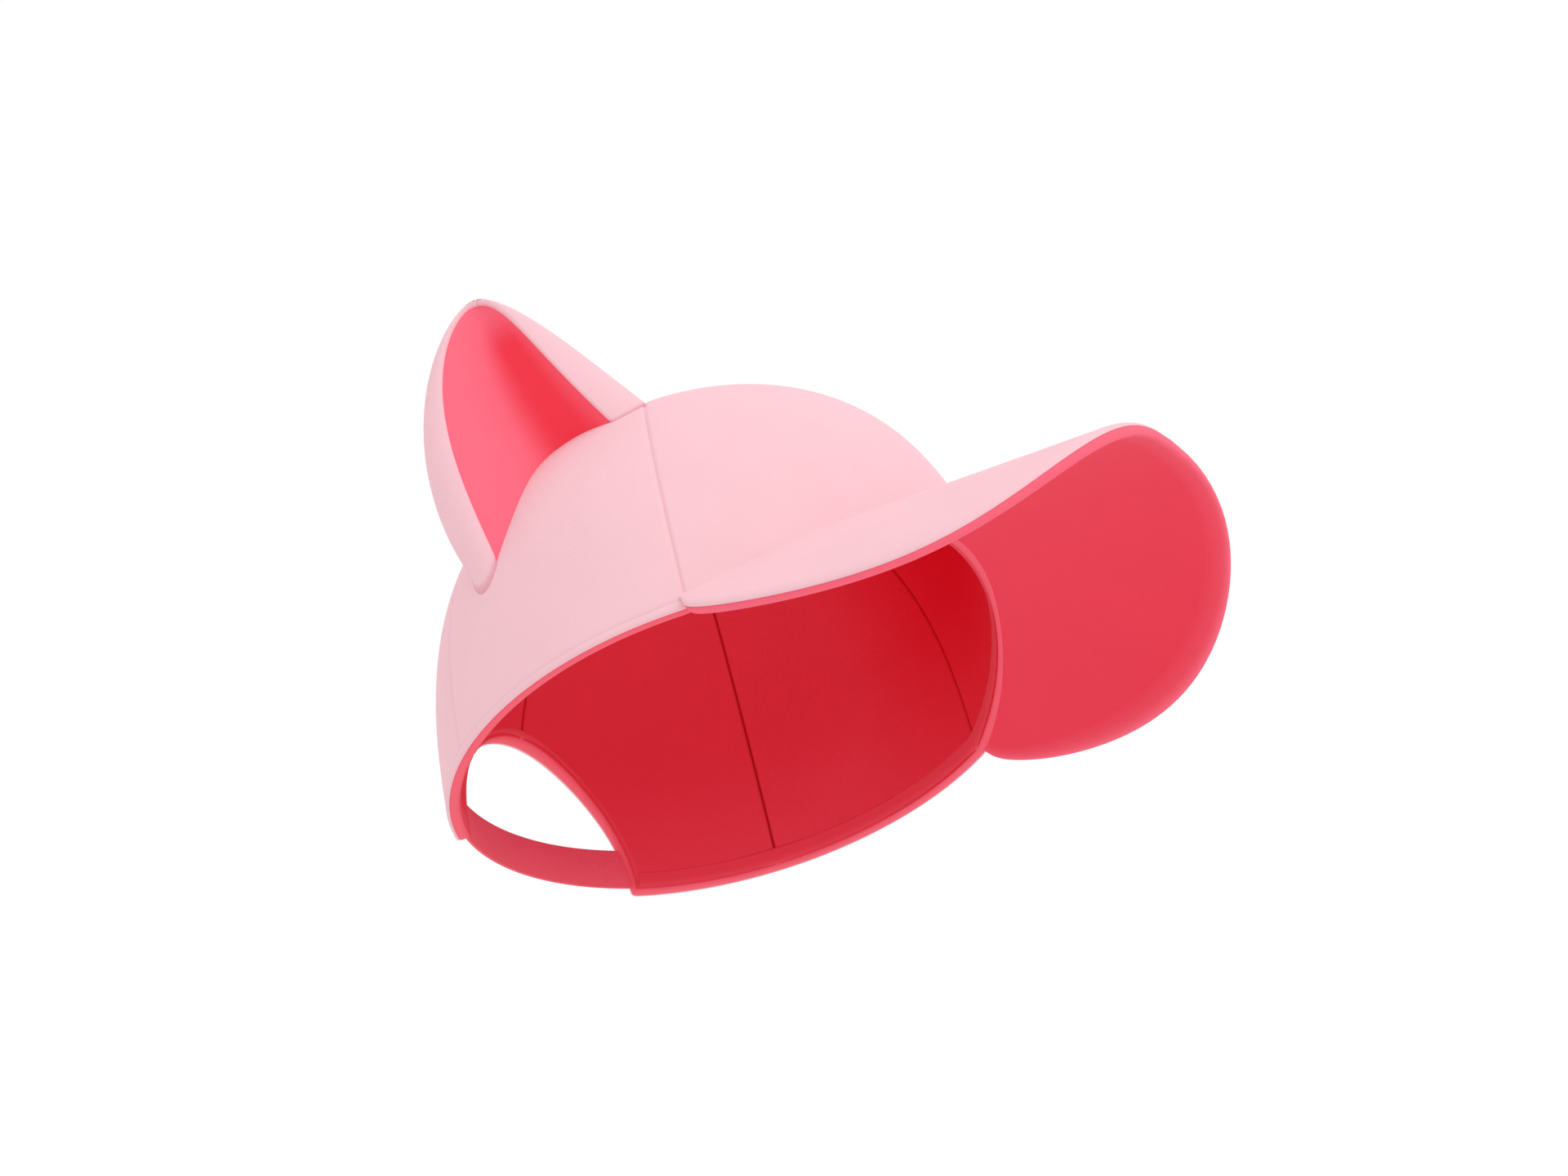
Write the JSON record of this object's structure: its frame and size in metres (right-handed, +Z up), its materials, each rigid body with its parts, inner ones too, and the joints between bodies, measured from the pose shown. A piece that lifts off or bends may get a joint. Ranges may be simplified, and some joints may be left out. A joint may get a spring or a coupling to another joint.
{
  "type": "child's baseball cap with cat ears",
  "caption": "Soft child's cap with a round panelled crown, arched visor, two scooped cat ears and a strap across the half-moon back opening.",
  "frame": {"origin": "centre of the head opening, on the hem plane where the hem meets the visor's corners", "axes": "+Z up through the crown, -Y forward over the visor, +X towards the wearer's left"},
  "size_m": [0.1832, 0.2349, 0.1389],
  "materials": {
    "pink_twill": "matte soft brushed cloth",
    "coral_lining": "matte smooth cloth",
    "coral_binding": "matte folded edge tape",
    "coral_webbing": "matte fine woven band",
    "buckram": "stiff open weave",
    "foam": "soft open foam",
    "visor_board": "smooth flexible sheet",
    "rivet_metal": "plain"
  },
  "bodies": {
    "cap": {"front_panel": "pink_twill", "left_side_panel": "pink_twill", "right_side_panel": "pink_twill", "left_back_panel": "pink_twill", "right_back_panel": "pink_twill", "front_buckram": "buckram", "left_side_interlining": "foam", "right_side_interlining": "foam", "left_back_interlining": "foam", "right_back_interlining": "foam", "front_lining": "coral_lining", "left_side_lining": "coral_lining", "right_side_lining": "coral_lining", "left_back_lining": "coral_lining", "right_back_lining": "coral_lining", "hem_binding": "coral_binding", "opening_binding": "coral_binding", "visor_top_cover": "pink_twill", "visor_board": "visor_board", "visor_under_cover": "coral_lining", "right_ear_shell": "pink_twill", "right_ear_padding": "foam", "right_ear_lining": "coral_lining", "left_ear_shell": "pink_twill", "left_ear_padding": "foam", "left_ear_lining": "coral_lining", "top_button": "pink_twill", "button_rivet": "rivet_metal"},
    "strap": {"back_strap": "coral_webbing"}
  },
  "joints": [
    {"name": "strap_adjust", "type": "hinge", "parent": "cap", "child": "strap", "pos_m": [0, 0, 0], "axis": [0, -0.1025, 0.9947], "range_deg": [-6, 6]}
  ]
}
